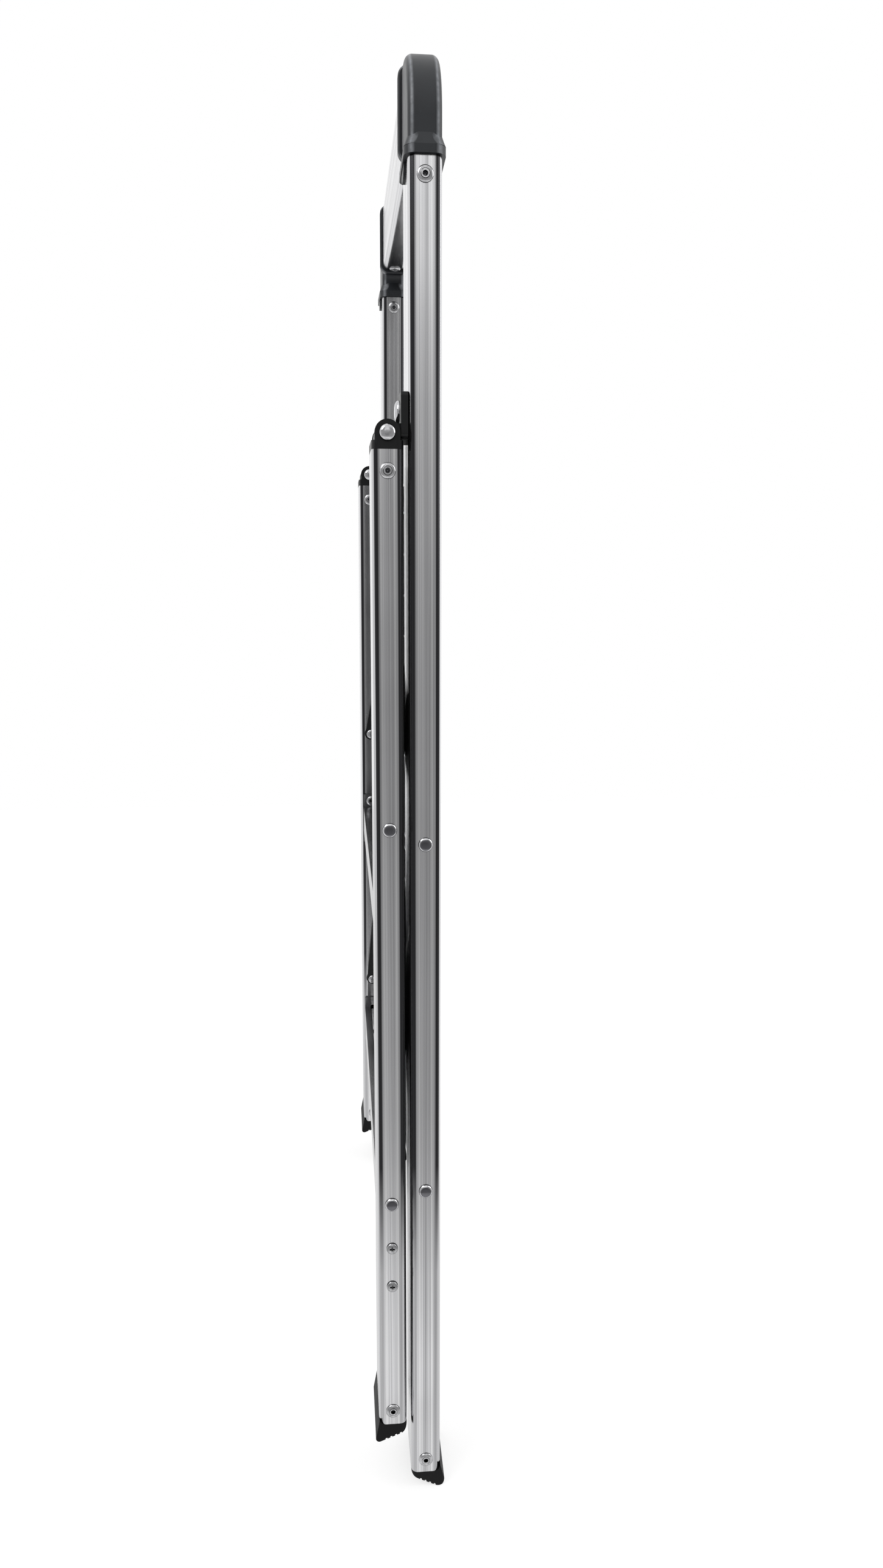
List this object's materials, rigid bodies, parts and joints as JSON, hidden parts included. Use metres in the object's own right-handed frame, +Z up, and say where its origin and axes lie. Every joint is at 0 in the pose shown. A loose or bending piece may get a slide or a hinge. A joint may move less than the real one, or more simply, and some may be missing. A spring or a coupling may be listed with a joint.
{
  "type": "step ladder",
  "caption": "Folding step ladder with tapered aluminium frames, moulded corner grips, a handrail, linked folding treads and moulded feet.",
  "frame": {"origin": "centre of the bounding box at its base, on the floor, with the ladder folded", "axes": "+X to the ladder's right along the handrail, +Y towards the rear frame, +Z up"},
  "size_m": [0.4946, 0.0512, 0.9705],
  "materials": {
    "satin_aluminium": "satin extruded",
    "black_nylon": "semi-matte moulded",
    "black_bracket": "satin black",
    "foot_rubber": "matte moulded",
    "pop_rivet": "bright",
    "chromed_steel": "polished",
    "screw_steel": "zinc plated",
    "bar_aluminium": "satin extruded",
    "deck_aluminium": "satin extruded",
    "mat_rubber": "ribbed matte",
    "cap_nylon": "semi-matte moulded",
    "link_steel": "satin black",
    "bush_nylon": "matte"
  },
  "bodies": {
    "front_frame": {"front_stile_left": "satin_aluminium", "front_stile_right": "satin_aluminium", "handrail_bar": "satin_aluminium", "corner_grip_left": "black_nylon", "corner_grip_right": "black_nylon", "hinge_bracket_left": "black_bracket", "hinge_bracket_right": "black_bracket", "front_foot_left": "foot_rubber", "front_foot_right": "foot_rubber", "grip_rivets": "pop_rivet", "front_foot_rivets": "pop_rivet", "bracket_rivets": "chromed_steel", "lower_tread_pivots": "chromed_steel", "upper_tread_pivots": "chromed_steel", "lower_tread_bushes": "bush_nylon", "upper_tread_bushes": "bush_nylon"},
    "rear_frame": {"rear_stile_left": "satin_aluminium", "rear_stile_right": "satin_aluminium", "rear_cap_left": "black_nylon", "rear_cap_right": "black_nylon", "rear_foot_left": "foot_rubber", "rear_foot_right": "foot_rubber", "rear_cap_rivets": "pop_rivet", "rear_foot_rivets": "pop_rivet", "rear_upper_bar_rivets": "pop_rivet", "hinge_pins": "chromed_steel", "lower_link_rivets": "chromed_steel", "upper_link_rivets": "chromed_steel", "rear_bar_screws": "screw_steel", "rear_upper_bar": "bar_aluminium", "rear_lower_bar": "bar_aluminium", "lower_link_washers": "bush_nylon", "upper_link_washers": "bush_nylon"},
    "lower_tread": {"lower_tread_deck": "deck_aluminium", "lower_tread_mat": "mat_rubber", "lower_tread_cap_left": "cap_nylon", "lower_tread_cap_right": "cap_nylon"},
    "lower_links": {"lower_link_left": "link_steel", "lower_link_right": "link_steel", "lower_link_pins": "chromed_steel"},
    "upper_tread": {"upper_tread_deck": "deck_aluminium", "upper_tread_mat": "mat_rubber", "upper_tread_cap_left": "cap_nylon", "upper_tread_cap_right": "cap_nylon"},
    "upper_links": {"upper_link_left": "link_steel", "upper_link_right": "link_steel", "upper_link_pins": "chromed_steel"}
  },
  "joints": [
    {"name": "rear_hinge", "type": "hinge", "parent": "front_frame", "child": "rear_frame", "pos_m": [0, 0.01165, 0.739], "axis": [1, 0, 0], "range_deg": [0, 47]},
    {"name": "lower_tread_pivot", "type": "hinge", "parent": "front_frame", "child": "lower_tread", "pos_m": [0, -0.01185, 0.232], "axis": [-1, 0, 0], "range_deg": [0, 64.1]},
    {"name": "lower_link_pivot", "type": "hinge", "parent": "rear_frame", "child": "lower_links", "pos_m": [0, 0.01165, 0.223], "axis": [1, 0, 0], "range_deg": [0, 55.58]},
    {"name": "upper_tread_pivot", "type": "hinge", "parent": "front_frame", "child": "upper_tread", "pos_m": [0, -0.01185, 0.478], "axis": [-1, 0, 0], "range_deg": [0, 64.1]},
    {"name": "upper_link_pivot", "type": "hinge", "parent": "rear_frame", "child": "upper_links", "pos_m": [0, 0.01165, 0.488], "axis": [1, 0, 0], "range_deg": [0, 55.58]}
  ],
  "couplings": [
    {"joint": "lower_tread_pivot", "follows": "rear_hinge", "ratio": 1.3617},
    {"joint": "lower_link_pivot", "follows": "rear_hinge", "ratio": 1.1804},
    {"joint": "upper_tread_pivot", "follows": "rear_hinge", "ratio": 1.3617},
    {"joint": "upper_link_pivot", "follows": "rear_hinge", "ratio": 1.1804}
  ]
}
